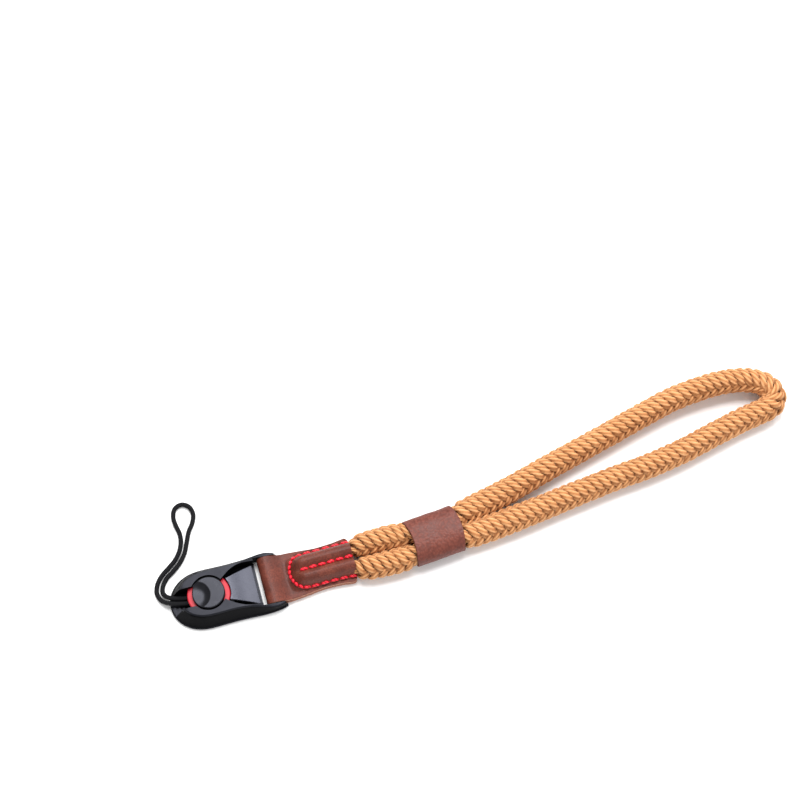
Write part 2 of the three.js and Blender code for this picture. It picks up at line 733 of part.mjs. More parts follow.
const blackPlastic = new THREE.MeshStandardMaterial({ color: 0x1c1d21, roughness: 0.42, metalness: 0 });
const steel = new THREE.MeshStandardMaterial({ color: 0x9a9a9c, roughness: 0.35, metalness: 1 });
const redPlastic = new THREE.MeshStandardMaterial({ color: 0xd8343c, roughness: 0.4, metalness: 0 });
const blackCord = new THREE.MeshStandardMaterial({ color: 0x121214, roughness: 0.75, metalness: 0 });
const brownLeather = new THREE.MeshStandardMaterial({ color: 0x7d4236, roughness: 0.6, metalness: 0 });
const cottonRope = new THREE.MeshStandardMaterial({ color: 0xc98f5c, roughness: 0.9, metalness: 0 });

const quickRelease = new THREE.Group();
quickRelease.add(
  quickReleaseHousing(blackPlastic),
  lockingRamp(blackPlastic),
  strapPin(steel),
  anchorCap(blackPlastic),
  anchorFlange(redPlastic),
  anchorCord(blackCord),
);

const strap = new THREE.Group();
strap.add(leatherTab(brownLeather), keeperSleeve(brownLeather), wristRope(cottonRope));

const wristStrap = new THREE.Group();
wristStrap.add(quickRelease, strap);

export default wristStrap;
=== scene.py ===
"""Looks of the braided rope wrist strap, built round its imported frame.

Lengths in the classes are millimetres in the row frame: +X from the housing's cord end towards the rope
loop, +Z up from the surface that the strap lies on. Every finished mesh is in metres, at the origin.
"""
import logging
import math
from contextlib import contextmanager
from dataclasses import dataclass
from enum import Enum
from typing import Iterator, Optional, Sequence

import bpy
import numpy as np
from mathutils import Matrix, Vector


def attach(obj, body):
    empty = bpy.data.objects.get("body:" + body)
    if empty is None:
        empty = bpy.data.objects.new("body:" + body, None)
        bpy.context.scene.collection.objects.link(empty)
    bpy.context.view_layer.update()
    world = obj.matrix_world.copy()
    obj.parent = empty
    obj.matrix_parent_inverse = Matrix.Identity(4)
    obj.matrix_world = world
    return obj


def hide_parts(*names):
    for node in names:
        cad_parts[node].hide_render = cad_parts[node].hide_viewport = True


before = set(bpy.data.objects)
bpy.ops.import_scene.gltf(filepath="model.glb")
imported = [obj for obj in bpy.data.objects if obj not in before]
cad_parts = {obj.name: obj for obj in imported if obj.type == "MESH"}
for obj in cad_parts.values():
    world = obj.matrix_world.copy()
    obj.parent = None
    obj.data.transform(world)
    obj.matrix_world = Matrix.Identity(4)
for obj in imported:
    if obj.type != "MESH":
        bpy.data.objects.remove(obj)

logging.basicConfig(level=logging.INFO, format="%(message)s")
log = logging.getLogger("wrist_strap")

MM = 0.001
TINY = 1e-6
SPAN_CUTS = 40
UP = np.array([0.0, 0.0, 1.0])
LEATHER_CORNER = 62
LEATHER_SMOOTH = 55
PLASTIC_SMOOTH = 40
Array = np.ndarray
Point = tuple[float, float, float]
Colour = tuple[float, float, float]
Table = tuple[tuple[float, float], ...]
Socket = bpy.types.NodeSocket
Piece = bpy.types.Object
Material = bpy.types.Material


class Body(Enum):
    """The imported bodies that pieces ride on."""

    STRAP = "strap"
    HOUSING = "housing"


class Slot(Enum):
    """The record's material slots."""

    PLASTIC = "black_plastic"
    RED = "red_plastic"
    CORD = "black_cord"
    LEATHER = "brown_leather"
    ROPE = "cotton_rope"


class Lean(Enum):
    """The way that a braid's strands run round the rope."""

    RIGHT = 1
    LEFT = -1


# Helpers for curves and tables


def spline(points: Sequence[Point], step: float) -> Array:
    """Runs a smooth line through points and cuts it into even steps.

    Args:
        points: places that the line goes through, in millimetres.
        step: distance between the returned places.

    Returns:
        Places along a centripetal Catmull-Rom line, one row each.
    """
    p = np.array(points, float)
    p = np.vstack([2 * p[0] - p[1], p, 2 * p[-1] - p[-2]])
    fine = []
    for a, b, c, d in zip(p[:-3], p[1:-2], p[2:-1], p[3:]):
        t1, t2, t3 = np.cumsum([max(np.linalg.norm(leg) ** 0.5, TINY) for leg in (b - a, c - b, d - c)])
        t = np.linspace(t1, t2, SPAN_CUTS, endpoint=False)[:, None]
        a1 = (t1 - t) / t1 * a + t / t1 * b
        a2 = (t2 - t) / (t2 - t1) * b + (t - t1) / (t2 - t1) * c
        a3 = (t3 - t) / (t3 - t2) * c + (t - t2) / (t3 - t2) * d
        b1 = (t2 - t) / t2 * a1 + t / t2 * a2
        b2 = (t3 - t) / (t3 - t1) * a2 + (t - t1) / (t3 - t1) * a3
        fine.append((t2 - t) / (t2 - t1) * b1 + (t - t1) / (t2 - t1) * b2)
    return even(np.vstack([*fine, p[-2]]), step)


def lengths(line: Array) -> Array:
    """How far along a line each of its places is."""
    return np.concatenate([[0.0], np.cumsum(np.linalg.norm(np.diff(line, axis=0), axis=1))])


def even(line: Array, step: float) -> Array:
    """Cuts a line of places into even steps of about the given length."""
    along = lengths(line)
    marks = np.linspace(0, along[-1], max(int(along[-1] / step), 2) + 1)
    return np.column_stack([np.interp(marks, along, line[:, k]) for k in range(3)])


def smoothed(values: Array, reach: int) -> Array:
    """Averages each row with its neighbours, and keeps both ends where they are."""
    weights = np.hanning(2 * reach + 3)[1:-1]
    weights /= weights.sum()
    lead = 2 * values[0] - values[reach:0:-1]
    tail = 2 * values[-1] - values[-2 : -reach - 2 : -1]
    columns = np.vstack([lead, values, tail]).T
    return np.column_stack([np.convolve(column, weights, "valid") for column in columns])


def eased(rows: Sequence[tuple[float, float]], at: Array) -> Array:
    """Reads a table of (place, value) rows with a smooth line that doesn't overshoot.

    Args:
        rows: the table, in order of place.
        at: where to read it.

    Returns:
        One value for each entry of at.
    """
    x, y = np.array(rows, float).T
    slope = np.diff(y) / np.diff(x)
    product, total = slope[1:] * slope[:-1], slope[1:] + slope[:-1] + TINY**2
    m = np.concatenate([[0.0], np.where(product > 0, 2 * product / total, 0), [0.0]])
    at = np.clip(at, x[0], x[-1])
    i = np.clip(np.searchsorted(x, at, side="right") - 1, 0, len(x) - 2)
    h = x[i + 1] - x[i]
    t = (at - x[i]) / h
    return (
        (2 * t**3 - 3 * t**2 + 1) * y[i]
        + (t**3 - 2 * t**2 + t) * h * m[i]
        + (-2 * t**3 + 3 * t**2) * y[i + 1]
        + (t**3 - t**2) * h * m[i + 1]
    )


def ease(t: Array | float) -> Array:
    """A smooth step from 0 to 1."""
    t = np.clip(t, 0, 1)
    return t * t * (3 - 2 * t)


def unit(v: Array) -> Array:
    """Scales each row to length one."""
    return v / np.maximum(np.linalg.norm(v, axis=-1, keepdims=True), TINY**2)


def level_frame(line: Array) -> tuple[Array, Array]:
    """The side and up directions at each place of a line, with the side kept level."""
    forward = unit(np.gradient(line, axis=0))
    side = unit(np.cross(UP, forward))
    return side, np.cross(forward, side)


def tube_rings(line: Array, side: Array, up: Array, angles: Array, radius: Array) -> Array:
    """Rings of places round a line.

    Args:
        line: the middle line.
        side: the side direction at each of its places.
        up: the up direction there.
        angles: the places round one ring, in radians from side towards up.
        radius: the radius, by ring and by place round it.

    Returns:
        Places by ring, by place round the ring, by axis.
    """
    ring = np.cos(angles)[None, :, None] * side[:, None] + np.sin(angles)[None, :, None] * up[:, None]
    return line[:, None, :] + ring * radius[..., None]


# Helpers for meshes


def deselect_all() -> None:
    """Leaves edit mode and selects nothing."""
    if bpy.context.object and bpy.context.object.mode != "OBJECT":
        bpy.ops.object.mode_set(mode="OBJECT")
    bpy.ops.object.select_all(action="DESELECT")


def take(obj: Piece) -> None:
    """Makes obj the only selected and the active object."""
    deselect_all()
    obj.select_set(True)
    bpy.context.view_layer.objects.active = obj


@contextmanager
def editing(obj: Piece) -> Iterator[None]:
    """Opens obj in edit mode with all of it selected, and closes it again."""
    take(obj)
    bpy.ops.object.mode_set(mode="EDIT")
    bpy.ops.mesh.select_all(action="SELECT")
    yield
    bpy.ops.object.mode_set(mode="OBJECT")


def apply_modifiers(obj: Piece) -> None:
    """Applies every modifier of obj in order."""
    take(obj)
    for modifier in list(obj.modifiers):
        bpy.ops.object.modifier_apply(modifier=modifier.name)


def get_places(obj: Piece) -> Array:
    """Reads a mesh's vertices, one row each."""
    co = np.zeros(len(obj.data.vertices) * 3)
    obj.data.vertices.foreach_get("co", co)
    return co.reshape(-1, 3)


def set_places(obj: Piece, rows: Array) -> None:
    """Moves a mesh's vertices."""
    obj.data.vertices.foreach_set("co", rows.ravel())
    obj.data.update()


def to_metres(obj: Piece) -> None:
    """Scales a mesh that was shaped in millimetres."""
    set_places(obj, get_places(obj) * MM)


def bevel(obj: Piece, width: float, segments: int, degrees: float) -> bpy.types.Modifier:
    """Adds a rounding, not yet applied, to the edges where faces meet at more than the given angle."""
    rounding = obj.modifiers.new("rounding", "BEVEL")
    rounding.width = width
    rounding.segments = segments
    rounding.limit_method = "ANGLE"
    rounding.angle_limit = math.radians(degrees)
    return rounding


def thicken(obj: Piece, wall: float, edge: float, segments: int, *finishes: object) -> bpy.types.Modifier:
    """Adds a leather face's two finishes, the second for its cut edges, its thickness and a rounding."""
    for finish in finishes:
        obj.data.materials.append(finish.material())
    hide = obj.modifiers.new("wall", "SOLIDIFY")
    hide.thickness = wall
    hide.offset = -1
    hide.use_even_offset = True
    hide.material_offset_rim = 1
    return bevel(obj, edge, segments, LEATHER_CORNER)


def to_leather(obj: Piece, node: str) -> None:
    """Brings a shaped leather piece to metres, shades it and settles it on the strap."""
    to_metres(obj)
    soften(obj, LEATHER_SMOOTH)
    settle(obj, obj.data.materials[0], Body.STRAP, Slot.LEATHER, node)


def paint_wall_shade(obj: Piece, sides: Material, upright: float = 0.5) -> None:
    """Gives a second material, for painted shade, to the faces whose normal rises or falls by less than
    upright.
    """
    obj.data.materials.append(sides)
    for face in obj.data.polygons:
        face.material_index = int(abs(face.normal.z) < upright)


def smooth(obj: Piece) -> None:
    """Shades all of obj smooth."""
    take(obj)
    bpy.ops.object.shade_smooth()


def soften(obj: Piece, degrees: float) -> None:
    """Shades obj smooth, with creases where faces meet at more than the given angle."""
    take(obj)
    bpy.ops.object.shade_smooth_by_angle(angle=math.radians(degrees))


def add_object(name: str, data: bpy.types.ID) -> Piece:
    """Adds an object for a mesh, camera or light."""
    obj = bpy.data.objects.new(name, data)
    bpy.context.collection.objects.link(obj)
    return obj


def new_mesh(name: str, verts: Array, faces: Sequence[Sequence[int]]) -> Piece:
    """Adds a mesh object from places in metres and faces."""
    data = bpy.data.meshes.new(name)
    data.from_pydata(verts.tolist(), [], faces)
    data.update()
    return add_object(name, data)


def shared_value(obj: Piece, name: str, values: Array) -> None:
    """Stores one number for each vertex, for the material to read."""
    attribute = obj.data.attributes.new(name, "FLOAT", "POINT")
    attribute.data.foreach_set("value", np.asarray(values, np.float32))


def rings_to_mesh(name: str, rings: Array, turns: float, along: Array) -> Piece:
    """Joins rings of places into a closed tube with a UV map.

    Args:
        name: the object's name.
        rings: places in metres, by ring, by place round the ring, by axis.
        turns: how far U runs round one ring.
        along: V at each ring.

    Returns:
        The tube, with both ends closed by fans and every face pointing outwards.
    """
    n, k, _ = rings.shape
    verts = np.vstack([rings.reshape(-1, 3), rings[0].mean(0), rings[-1].mean(0)])
    i, j = np.meshgrid(np.arange(n - 1), np.arange(k), indexing="ij")
    j2 = (j + 1) % k
    quads = np.stack([i * k + j, i * k + j2, (i + 1) * k + j2, (i + 1) * k + j], -1).reshape(-1, 4)
    start = [[n * k, (q + 1) % k, q] for q in range(k)]
    end = [[n * k + 1, (n - 1) * k + q, (n - 1) * k + (q + 1) % k] for q in range(k)]
    obj = new_mesh(name, verts, [*quads.tolist(), *start, *end])
    u = np.stack([j, j + 1, j + 1, j], -1).reshape(-1) / k * turns
    v = np.stack([along[i], along[i], along[i + 1], along[i + 1]], -1).reshape(-1)
    caps = np.zeros((6 * k, 2))
    caps[: 3 * k, 1] = along[0]
    caps[3 * k :, 1] = along[-1]
    uv = np.vstack([np.column_stack([u, v]), caps])
    obj.data.uv_layers.new(name="UVMap").data.foreach_set("uv", uv.ravel())
    thirds = np.vstack([quads[:, [0, 1, 2]], quads[:, [0, 2, 3]], start, end])
    a, b, c = (verts[thirds[:, corner]] for corner in range(3))
    if (a * np.cross(b, c)).sum() < 0:
        obj.data.flip_normals()
    return obj


def join(name: str, parts: Sequence[Piece]) -> Piece:
    """Joins meshes into one object of the given name."""
    deselect_all()
    for part in parts:
        part.select_set(True)
    bpy.context.view_layer.objects.active = parts[0]
    bpy.ops.object.join()
    parts[0].name = name
    parts[0].data.name = name
    return parts[0]


def settle(obj: Piece, finish: Material, body: Body, slot: Slot, *nodes: str) -> None:
    """Gives a finished piece its material and its body, and hides the CAD nodes that it stands for."""
    if not obj.data.materials:
        obj.data.materials.append(finish)
    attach(obj, body.value)
    if nodes:
        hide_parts(*nodes)
    log.info("%s: %d faces", obj.name, len(obj.data.polygons))


# Finishes


class ShaderBench:
    """Places and links the nodes of one material."""

    def __init__(self, name: str) -> None:
        """Starts a material with one Principled shader."""
        self.material = bpy.data.materials.new(name)
        self.material.use_nodes = True
        self.tree = self.material.node_tree
        self.tree.nodes.clear()
        output = self.tree.nodes.new("ShaderNodeOutputMaterial")
        self.shader = self.tree.nodes.new("ShaderNodeBsdfPrincipled")
        self.tree.links.new(self.shader.outputs[0], output.inputs[0])

    def feed(self, socket: Socket, given: object) -> None:
        """Links another socket to an input, or sets it to a number, a vector or a colour."""
        if isinstance(given, Socket):
            self.tree.links.new(given, socket)
        else:
            socket.default_value = (*given, 1) if socket.type == "RGBA" else given

    def node(self, kind: str, *inputs: tuple[str | int, object], **values: object) -> bpy.types.Node:
        """Adds a node.

        Args:
            kind: the node's type.
            *inputs: pairs of an input and what feeds it.
            **values: properties of the node, or inputs by name with spaces as underscores.

        Returns:
            The node.
        """
        made = self.tree.nodes.new(kind)
        for key, value in values.items():
            if hasattr(made, key):
                setattr(made, key, value)
            else:
                self.feed(made.inputs[key.replace("_", " ")], value)
        for key, given in inputs:
            self.feed(made.inputs[key], given)
        return made

    def place(self, scale: Point = (1000, 1000, 1000)) -> Socket:
        """Object coordinates, in millimetres unless scaled otherwise."""
        coords = self.node("ShaderNodeTexCoord").outputs["Object"]
        return self.node("ShaderNodeMapping", ("Vector", coords), Scale=scale).outputs[0]

    def uv(self, scale: Point) -> Socket:
        """The piece's own UV map, scaled."""
        coords = self.node("ShaderNodeUVMap", uv_map="UVMap").outputs[0]
        return self.node("ShaderNodeMapping", ("Vector", coords), Scale=scale).outputs[0]

    def noise(self, where: Socket, scale: float, detail: float = 3, rough: float = 0.5) -> Socket:
        """Soft noise, from 0 to 1."""
        made = self.node("ShaderNodeTexNoise", ("Vector", where), Scale=scale, Detail=detail, Roughness=rough)
        return made.outputs[0]

    def cells(self, where: Socket, scale: float) -> Socket:
        """Distances in rounded cells, as between the pebbles of leather."""
        made = self.node("ShaderNodeTexVoronoi", ("Vector", where), feature="SMOOTH_F1", Scale=scale)
        return made.outputs["Distance"]

    def value(self, name: str) -> Socket:
        """A number stored on the mesh."""
        return self.node("ShaderNodeAttribute", attribute_name=name).outputs["Fac"]

    def sum(self, operation: str, a: object, b: object, c: object = 0.0) -> Socket:
        """One arithmetic step on sockets or numbers."""
        return self.node("ShaderNodeMath", (0, a), (1, b), (2, c), operation=operation).outputs[0]

    def vary(self, by: Socket, share: float, base: object) -> Socket:
        """A socket or number moved up and down by a share of some noise."""
        return self.sum("MULTIPLY_ADD", self.sum("SUBTRACT", by, 0.5), share, base)

    def fade(self, by: Socket, *stops: tuple[float, Colour]) -> Socket:
        """Colours read off a ramp."""
        made = self.node("ShaderNodeValToRGB", ("Fac", by))
        ramp = made.color_ramp
        while len(ramp.elements) < len(stops):
            ramp.elements.new(0.5)
        for element, (place, colour) in zip(ramp.elements, stops):
            element.position = place
            element.color = (*colour, 1)
        return made.outputs["Color"]

    def span(self, by: Socket, low: float, high: float, to_low: float, to_high: float) -> Socket:
        """A number moved from one range to another, kept inside it."""
        ends = {"From_Min": low, "From_Max": high, "To_Min": to_low, "To_Max": to_high}
        return self.node("ShaderNodeMapRange", ("Value", by), **ends).outputs[0]

    def blend(self, by: Socket, a: object, b: object) -> Socket:
        """Two colours mixed by a number."""
        return self.node("ShaderNodeMix", (0, by), (6, a), (7, b), data_type="RGBA").outputs[2]

    def bump(self, height: Socket, depth: float, under: Optional[Socket] = None) -> Socket:
        """Relief of the given depth in metres, over another relief if one is given."""
        made = self.node("ShaderNodeBump", ("Height", height), Distance=depth, Strength=1)
        if under is not None:
            self.feed(made.inputs["Normal"], under)
        return made.outputs[0]

    def finish(
        self, colour: object, roughness: object, normal: Optional[Socket] = None, **more: object
    ) -> Material:
        """Feeds the shader and returns the material.

        Args:
            colour: a socket or a plain colour.
            roughness: a socket or a number.
            normal: the relief, if any.
            **more: other inputs of the shader, by name with spaces as underscores.

        Returns:
            The finished material.
        """
        for key, given in {"Base_Color": colour, "Roughness": roughness, "Normal": normal, **more}.items():
            if given is not None:
                self.feed(self.shader.inputs[key.replace("_", " ")], given)
        return self.material


@dataclass(frozen=True)
class CottonFinish:
    """Tan cotton yarn: painted shade in the gaps of the braid and painted light on its crests, with fine
    fibres along each yarn.
    """

    # gap is painted shade for the braid's gaps and its core; pale is painted light on the outermost crests.
    gap: Colour = (0.11, 0.035, 0.01)
    low: Colour = (0.36, 0.135, 0.045)
    crest: Colour = (0.62, 0.29, 0.115)
    pale: Colour = (0.76, 0.42, 0.2)

    def material(self) -> Material:
        """Builds the finish from painted shade values set by the braid's relief, and from its UV map."""
        bench = ShaderBench("tan_cotton")
        # crest carries painted shade and light: 0 deep in the braid's gaps, 1 on its outermost crests.
        crest = bench.value("crest")
        fibres = bench.noise(bench.uv((26, 0.6, 1)), 1.0, 4, 0.6)
        patches = bench.noise(bench.place(), 0.22, 3)
        mixed = bench.vary(patches, 0.35, bench.vary(fibres, 0.42, crest))
        colour = bench.fade(mixed, (0.0, self.gap), (0.38, self.low), (0.72, self.crest), (1.0, self.pale))
        relief = bench.bump(fibres, 0.00022)
        relief = bench.bump(bench.noise(bench.place(), 3.2, 3, 0.7), 0.0001, relief)
        sheen = {"Sheen_Weight": 0.2, "Sheen_Roughness": 0.5, "Sheen_Tint": (0.95, 0.7, 0.45)}
        return bench.finish(colour, 0.82, relief, Specular_IOR_Level=0.25, **sheen)


@dataclass(frozen=True)
class LeatherFinish:
    """Reddish brown leather: rounded grain cells, soft creases darkened with painted shade, and a waxy sheen.
    """

    name: str
    grain: float
    depth: float
    shine: float
    dark: Colour = (0.055, 0.0105, 0.006)
    mid: Colour = (0.132, 0.028, 0.0155)
    light: Colour = (0.21, 0.054, 0.032)
    mottle: float = 1.1

    def material(self) -> Material:
        """Builds the finish. Grain is the size of a cell in millimetres."""
        bench = ShaderBench(self.name)
        where = bench.place()
        wander = bench.node("ShaderNodeTexNoise", ("Vector", where), Scale=0.9, Detail=2.0).outputs["Color"]
        warped = bench.node("ShaderNodeVectorMath", (0, wander), operation="SCALE", Scale=0.7 * self.grain)
        bent = bench.node("ShaderNodeVectorMath", (0, where), (1, warped.outputs[0]), operation="ADD")
        pebbles = bench.cells(bent.outputs[0], 1 / self.grain)
        fine = bench.noise(where, 3.5, 3, 0.6)
        broad = bench.noise(where, 0.16, 3)
        tone = bench.vary(fine, 0.35, bench.vary(broad, self.mottle, 0.5))
        colour = bench.fade(tone, (0.15, self.dark), (0.5, self.mid), (0.9, self.light))
        # Painted shade: the low crevices between the grain cells are blended towards the dark tone.
        crease_painted_shade = bench.span(pebbles, 0.25, 0.62, 0.0, 0.55)
        colour = bench.blend(crease_painted_shade, colour, self.dark)
        relief = bench.bump(bench.sum("MULTIPLY", pebbles, -1.0), self.depth * MM)
        relief = bench.bump(fine, 0.00003, relief)
        roughness = bench.span(broad, 0.3, 0.7, 0.46, 0.58)
        return bench.finish(colour, roughness, relief, Specular_IOR_Level=self.shine)


@dataclass(frozen=True)
class CutEdgeFinish:
    """The raw cut edge of leather: paler, fibrous, in thin layers."""

    name: str
    pale: Colour
    deep: Colour

    def material(self) -> Material:
        """Builds the finish with layers along the hide."""
        bench = ShaderBench(self.name)
        fibre = bench.noise(bench.place((700, 700, 4200)), 1.0, 4, 0.65)
        spots = bench.noise(bench.place(), 1.6, 2)
        colour = bench.fade(bench.vary(spots, 0.6, fibre), (0.25, self.deep), (0.7, self.pale))
        return bench.finish(colour, 0.85, bench.bump(fibre, 0.00012), Specular_IOR_Level=0.25)


@dataclass(frozen=True)
class PlasticFinish:
    """Moulded plastic with a fine spark-eroded texture and faint handling marks."""

    name: str
    colour: Colour
    worn: Colour
    roughness: float
    shine: float = 0.15
    tint: Colour = (0.83, 0.85, 1.0)

    def material(self) -> Material:
        """Builds the finish."""
        bench = ShaderBench(self.name)
        where = bench.place()
        texture = bench.noise(where, 9.0, 2, 0.6)
        rubbed = bench.noise(where, 0.35, 4, 0.62)
        marks = bench.span(rubbed, 0.52, 0.75, 0.0, 0.6)
        colour = bench.blend(marks, self.colour, self.worn)
        roughness = bench.span(rubbed, 0.3, 0.75, self.roughness - 0.02, self.roughness + 0.06)
        relief = bench.bump(texture, 0.000004)
        return bench.finish(colour, roughness, relief, Specular_IOR_Level=self.shine, Specular_Tint=self.tint)


@dataclass(frozen=True)
class YarnFinish:
    """Spun thread or woven cord, with strands that cross in fine diamonds and painted shade in the low lines
    between them.
    """

    name: str
    dark: Colour
    light: Colour
    around: float
    pitch: float
    crossed: bool
    roughness: float = 0.6
    relief: float = 0.00012
    sheen: float = 0.1
    shine: float = 0.3

    def material(self) -> Material:
        """Builds the finish on the piece's UV map, where V runs in millimetres."""
        bench = ShaderBench(self.name)
        split = bench.node("ShaderNodeSeparateXYZ", ("Vector", bench.uv((1, 1, 1))))
        u = bench.sum("MULTIPLY", split.outputs[0], self.around * math.tau)
        v = bench.sum("MULTIPLY", split.outputs[1], math.tau / self.pitch)
        height = bench.sum("SINE", bench.sum("ADD", u, v), 0)
        if self.crossed:
            other = bench.sum("SINE", bench.sum("SUBTRACT", u, v), 0)
            height = bench.sum("MULTIPLY", height, other)
        height = bench.sum("MULTIPLY_ADD", height, 0.5, 0.5)
        fuzz = bench.noise(bench.place(), 5.0, 3, 0.6)
        # The weave's low lines get the dark colour: painted shade between the strands.
        tone = bench.vary(fuzz, 0.5, height)
        colour = bench.fade(tone, (0.1, self.dark), (0.8, self.light))
        looks = {"Sheen_Weight": self.sheen, "Sheen_Roughness": 0.4, "Specular_IOR_Level": self.shine}
        return bench.finish(colour, self.roughness, bench.bump(tone, self.relief), **looks)


@dataclass(frozen=True)
class SteelFinish:
    """Drawn steel with faint lines round the pin."""

    tone: Colour = (0.42, 0.42, 0.44)

    def material(self) -> Material:
        """Builds the finish."""
        bench = ShaderBench("drawn_steel")
        lines = bench.noise(bench.place((300, 6000, 300)), 1.0, 3)
        roughness = bench.span(lines, 0.3, 0.7, 0.25, 0.42)
        return bench.finish(self.tone, roughness, bench.bump(lines, 0.000006), Metallic=1.0)


# Studio


@dataclass(frozen=True)
class SoftLight:
    """One square soft light, in metres and watts."""

    name: str
    place: Point
    aim: Point
    size: float
    power: float

    def hang(self) -> None:
        """Adds the light, facing what it aims at."""
        data = bpy.data.lights.new(self.name, "AREA")
        data.size = self.size
        data.energy = self.power
        obj = add_object(self.name, data)
        obj.location = self.place
        obj.rotation_euler = (Vector(self.aim) - Vector(self.place)).to_track_quat("-Z", "Y").to_euler()


@dataclass
class Studio:
    """The pale floor, the soft lights and the camera."""

    target: Point = (101.7, 67.3, 0.0)
    azimuth: float = -15.0
    elevation: float = 68.0
    distance: float = 980.0
    lens: float = 100.0
    sensor: float = 36.0
    nearest: float = 0.01
    floor_side: float = 4.0
    surroundings: float = 0.62
    lights: tuple[SoftLight, ...] = (
        SoftLight("overhead", (0.2, 0.5, 1.1), (0.1, 0.0, 0.0), 0.7, 19),
        SoftLight("right_window", (1.0, 0.5, 0.85), (0.0, 0.0, 0.0), 0.6, 6),
        SoftLight("front_fill", (0.35, -0.9, 0.8), (0.1, 0.0, 0.0), 1.6, 5),
    )

    def camera(self) -> None:
        """Places the camera at the photograph's angle."""
        a = math.radians(self.azimuth)
        e = math.radians(self.elevation)
        back = Vector((math.sin(a) * math.cos(e), -math.cos(a) * math.cos(e), math.sin(e)))
        data = bpy.data.cameras.new("camera")
        data.lens = self.lens
        data.sensor_width = self.sensor
        data.clip_start = self.nearest
        obj = add_object("camera", data)
        obj.location = (Vector(self.target) + back * self.distance) * MM
        obj.rotation_euler = (math.pi / 2 - e, 0, a)
        bpy.context.scene.camera = obj

    def floor(self) -> None:
        """Lays a plain pale floor under the strap."""
        deselect_all()
        bpy.ops.mesh.primitive_plane_add(size=self.floor_side)
        floor = bpy.context.object
        floor.name = "floor"
        bench = ShaderBench("pale_floor")
        tone = bench.noise(bench.place((1, 1, 1)), 3.0, 2)
        colour = bench.fade(tone, (0.3, (0.93, 0.93, 0.93)), (0.7, (0.95, 0.95, 0.95)))
        floor.data.materials.append(bench.finish(colour, 0.7, Specular_IOR_Level=0.2))

    def build(self) -> None:
        """Sets camera, floor, lights and the white surroundings."""
        self.camera()
        self.floor()
        for light in self.lights:
            light.hang()
        world = bpy.data.worlds.new("white_room")
        world.use_nodes = True
        background = world.node_tree.nodes["Background"]
        background.inputs["Color"].default_value = (1, 1, 1, 1)
        background.inputs["Strength"].default_value = self.surroundings
        bpy.context.scene.world = world
        bpy.context.scene.view_settings.view_transform = "Standard"


# Wrist rope


